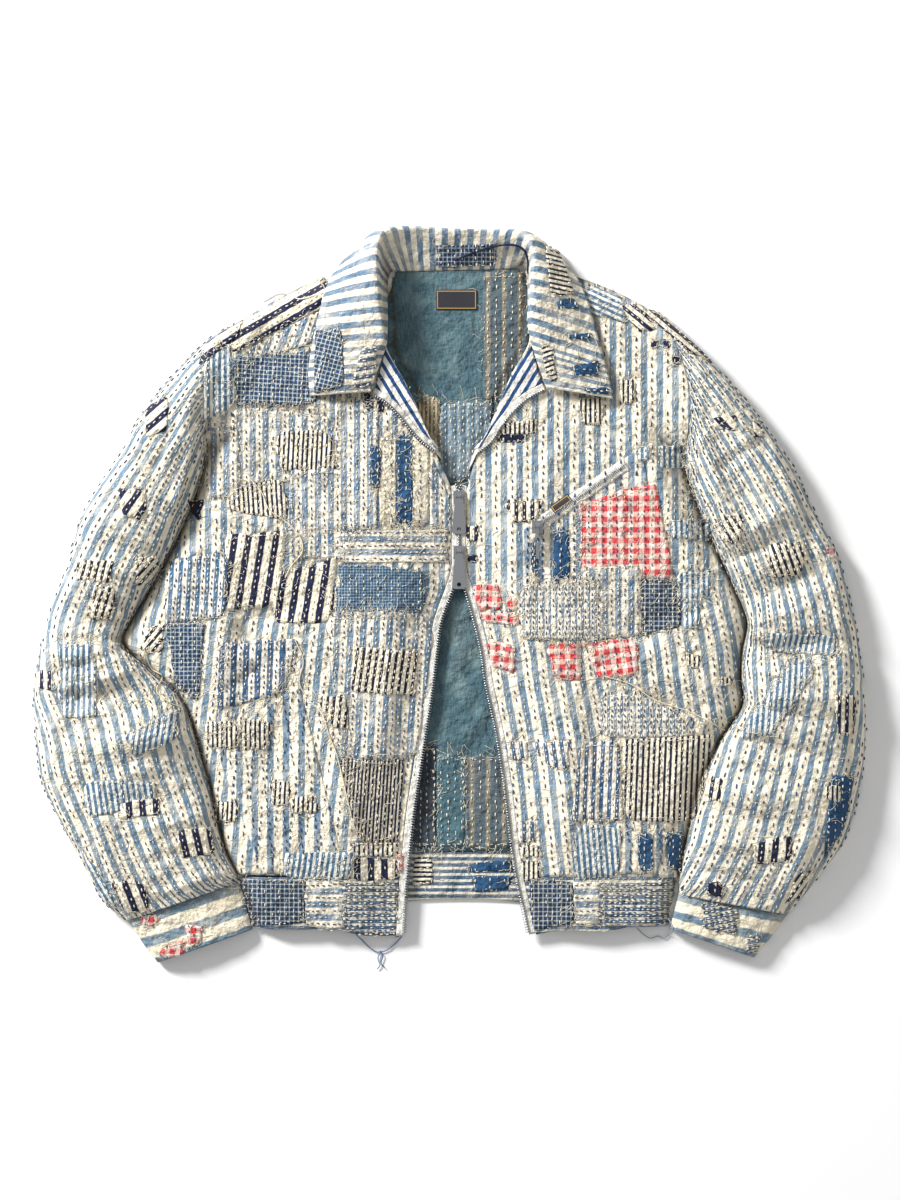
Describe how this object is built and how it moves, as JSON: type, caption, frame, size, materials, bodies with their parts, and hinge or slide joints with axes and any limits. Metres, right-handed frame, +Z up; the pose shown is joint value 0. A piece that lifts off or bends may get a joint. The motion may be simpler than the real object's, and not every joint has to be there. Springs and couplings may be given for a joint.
{
  "type": "patched boro jacket",
  "caption": "Zip-front patched jacket laid flat on its back, collar folded over and fronts turned open, with sleeves, cuffs, hem band, pockets and two-way zip.",
  "frame": {"origin": "middle of the laid-out jacket, on the surface it lies on", "axes": "+X to the viewer's right across the sleeves, +Y towards the collar, +Z up off the surface"},
  "size_m": [0.8306, 0.7344, 0.044],
  "materials": {
    "striped_cotton": "matt woven cotton, cream and light blue stripes with running stitches",
    "lining_cotton": "matt woven cotton, patched teal, grey and blue",
    "check_cotton": "matt woven cotton, blue and cream checks and fine stripes",
    "facing_cotton": "matt woven cotton, fine blue and white stripes",
    "navy_striped_cotton": "matt woven cotton, navy and cream stripes",
    "denim": "matt twill, worn blue",
    "red_gingham": "matt woven cotton, red and cream gingham",
    "zip_tape": "matt woven tape, off-white",
    "zip_metal": "polished metal, slightly worn",
    "label_cloth": "satin-woven, dark and blank",
    "loop_cord": "thin dark blue cord"
  },
  "bodies": {
    "garment": {"back": "striped_cotton", "hem_back": "striped_cotton", "front_left": "striped_cotton", "front_right": "striped_cotton", "sleeve_left_upper": "striped_cotton", "sleeve_left_under": "striped_cotton", "sleeve_right_upper": "striped_cotton", "sleeve_right_under": "striped_cotton", "cuff_left": "striped_cotton", "cuff_right": "striped_cotton", "collar": "striped_cotton", "pocket_slash_left": "striped_cotton", "pocket_slash_right": "striped_cotton", "pocket_chest": "striped_cotton", "back_lining": "lining_cotton", "hem_front_left": "check_cotton", "hem_front_right": "check_cotton", "patch_blue_check": "check_cotton", "patch_fine_check": "check_cotton", "patch_sleeve_fine_stripes": "check_cotton", "patch_sleeve_diagonal": "check_cotton", "facing_left": "facing_cotton", "facing_right": "facing_cotton", "patch_navy_stripes": "navy_striped_cotton", "patch_navy_stripes_small": "navy_striped_cotton", "patch_dark_stripes": "navy_striped_cotton", "patch_pocket_stripes": "navy_striped_cotton", "patch_sleeve_navy_oval": "navy_striped_cotton", "patch_sleeve_oval": "navy_striped_cotton", "patch_oval_stripes": "navy_striped_cotton", "patch_denim_bar": "denim", "patch_red_check": "red_gingham", "patch_red_zip": "red_gingham", "patch_red_low": "red_gingham", "patch_red_low_side": "red_gingham", "zip_tape_lapel_left": "zip_tape", "zip_tape_lapel_right": "zip_tape", "zip_tape_left": "zip_tape", "zip_tape_right": "zip_tape", "pocket_chest_zip": "zip_tape", "zip_slider_upper": "zip_metal", "zip_slider_lower": "zip_metal", "pocket_slider": "zip_metal", "label_neck_blank": "label_cloth", "label_chest_blank": "label_cloth", "hanger_loop": "loop_cord"},
    "pull_upper": {"zip_pull_upper": "zip_metal"},
    "pull_lower": {"zip_pull_lower": "zip_metal"},
    "pull_pocket": {"pocket_pull": "zip_metal"}
  },
  "joints": [
    {"name": "upper_pull_hinge", "type": "hinge", "parent": "garment", "child": "pull_upper", "pos_m": [0.00931, 0.09878, 0.0157], "axis": [-1, 0, 0], "range_deg": [0, 150]},
    {"name": "lower_pull_hinge", "type": "hinge", "parent": "garment", "child": "pull_lower", "pos_m": [0.00931, 0.04378, 0.0157], "axis": [-1, 0, 0], "range_deg": [0, 150]},
    {"name": "pocket_pull_hinge", "type": "hinge", "parent": "garment", "child": "pull_pocket", "pos_m": [0.08731, 0.06878, 0.03039], "axis": [-1, 0, 0], "range_deg": [0, 150]}
  ]
}
